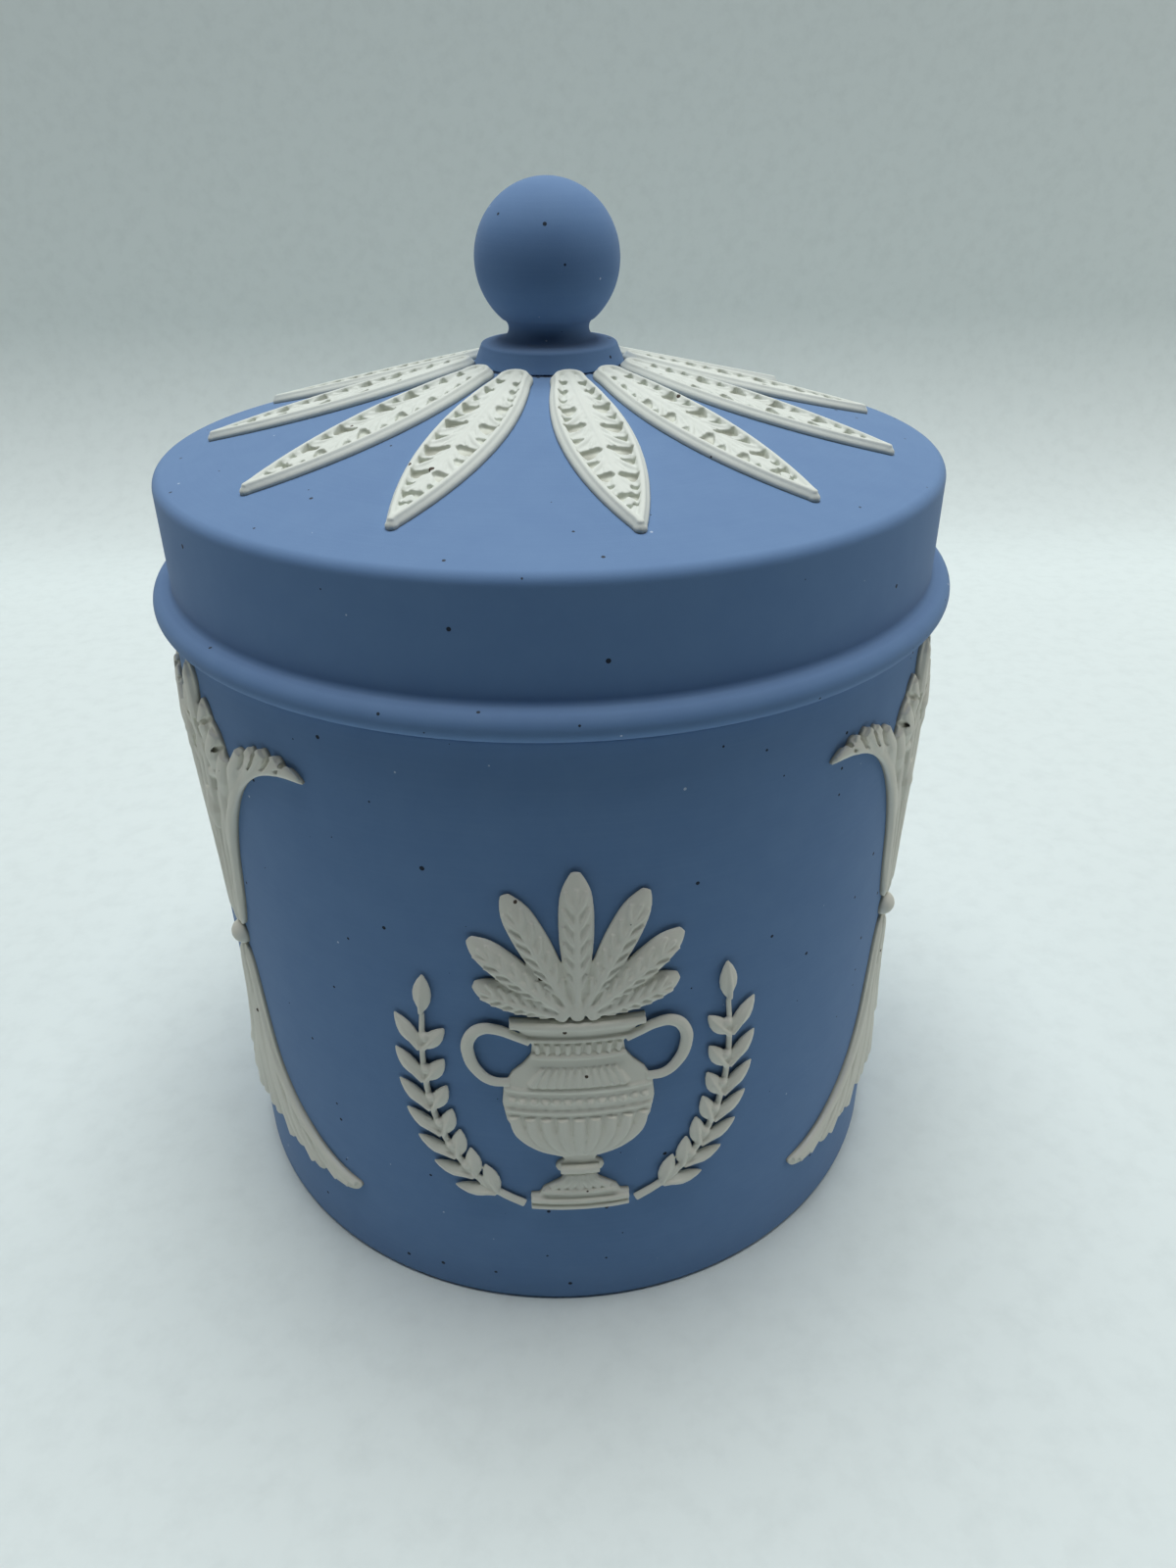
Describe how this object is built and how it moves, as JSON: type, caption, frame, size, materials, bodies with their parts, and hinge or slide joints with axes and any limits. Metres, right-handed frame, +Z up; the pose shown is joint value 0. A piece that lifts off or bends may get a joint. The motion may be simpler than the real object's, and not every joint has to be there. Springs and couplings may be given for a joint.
{
  "type": "lidded box",
  "caption": "Round lidded box of matt blue stoneware with white moulded ornament: the lid with its ball knob lifts off the jar's standing collar.",
  "frame": {"origin": "middle of the jar's underside, in the plane it stands on", "axes": "+Z up along the jar's axis, -Y towards the panel that faces the viewer, +X to that viewer's right"},
  "size_m": [0.108, 0.108, 0.1404],
  "materials": {
    "blue_stoneware": "matt, unglazed",
    "white_stoneware": "matt, unglazed"
  },
  "bodies": {
    "jar": {"jar_body": "blue_stoneware", "acanthus_upper_1": "white_stoneware", "acanthus_drop_1": "white_stoneware", "acanthus_lower_1": "white_stoneware", "acanthus_upper_2": "white_stoneware", "acanthus_drop_2": "white_stoneware", "acanthus_lower_2": "white_stoneware", "acanthus_upper_3": "white_stoneware", "acanthus_drop_3": "white_stoneware", "acanthus_lower_3": "white_stoneware", "urn_1": "white_stoneware", "urn_fan_1": "white_stoneware", "laurel_left_1": "white_stoneware", "laurel_right_1": "white_stoneware", "urn_2": "white_stoneware", "urn_fan_2": "white_stoneware", "laurel_left_2": "white_stoneware", "laurel_right_2": "white_stoneware", "urn_3": "white_stoneware", "urn_fan_3": "white_stoneware", "laurel_left_3": "white_stoneware", "laurel_right_3": "white_stoneware"},
    "lid": {"lid_shell": "blue_stoneware", "knob": "blue_stoneware", "lid_leaf_01": "white_stoneware", "lid_leaf_02": "white_stoneware", "lid_leaf_03": "white_stoneware", "lid_leaf_04": "white_stoneware", "lid_leaf_05": "white_stoneware", "lid_leaf_06": "white_stoneware", "lid_leaf_07": "white_stoneware", "lid_leaf_08": "white_stoneware", "lid_leaf_09": "white_stoneware", "lid_leaf_10": "white_stoneware", "lid_leaf_11": "white_stoneware", "lid_leaf_12": "white_stoneware"}
  },
  "joints": [
    {"name": "lid_lift", "type": "slide", "parent": "jar", "child": "lid", "axis": [0, 0, 1], "range_m": [0, 0.06]}
  ]
}
